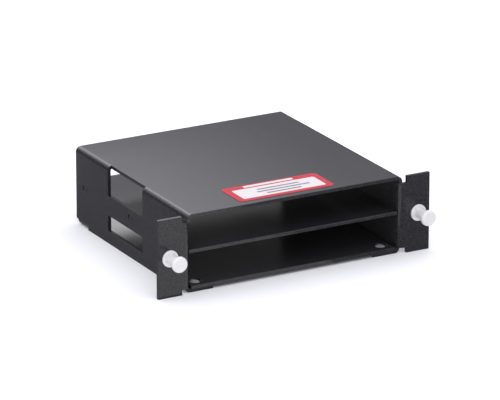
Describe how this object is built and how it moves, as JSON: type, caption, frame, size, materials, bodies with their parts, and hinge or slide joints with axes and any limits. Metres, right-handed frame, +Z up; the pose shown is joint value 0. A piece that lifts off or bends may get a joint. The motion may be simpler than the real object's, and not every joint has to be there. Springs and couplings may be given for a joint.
{
  "type": "fiber cassette carrier",
  "caption": "Folded sheet-metal plug-in carrier with stacked open decks for fibre cassettes, windows in its left wall, ears and push-pull latches.",
  "frame": {"origin": "middle of the whole object's box in plan, on the plane it stands on", "axes": "+X to the right seen from the front, +Y from the front to the back, +Z up"},
  "size_m": [0.13, 0.1112, 0.0349],
  "materials": {
    "black_powder_coat": "satin, fine powder-coat texture",
    "rivet_metal": "bright zinc plate",
    "label_film": "smooth printed film, white panel in a red frame, no lettering",
    "white_nylon": "semi-matte moulded nylon"
  },
  "bodies": {
    "housing": {"housing_shell": "black_powder_coat", "middle_shelf": "black_powder_coat", "floor_shelf": "black_powder_coat", "rivet_front_left": "rivet_metal", "rivet_front_right": "rivet_metal", "rivet_rear_left": "rivet_metal", "rivet_rear_right": "rivet_metal", "top_label": "label_film", "grommet_left": "white_nylon", "grommet_right": "white_nylon"},
    "left_plunger": {"plunger_left": "white_nylon"},
    "right_plunger": {"plunger_right": "white_nylon"}
  },
  "joints": [
    {"name": "left_latch_slide", "type": "slide", "parent": "housing", "child": "left_plunger", "axis": [0, 1, 0], "range_m": [0, 0.0056]},
    {"name": "right_latch_slide", "type": "slide", "parent": "housing", "child": "right_plunger", "axis": [0, 1, 0], "range_m": [0, 0.0056]}
  ]
}
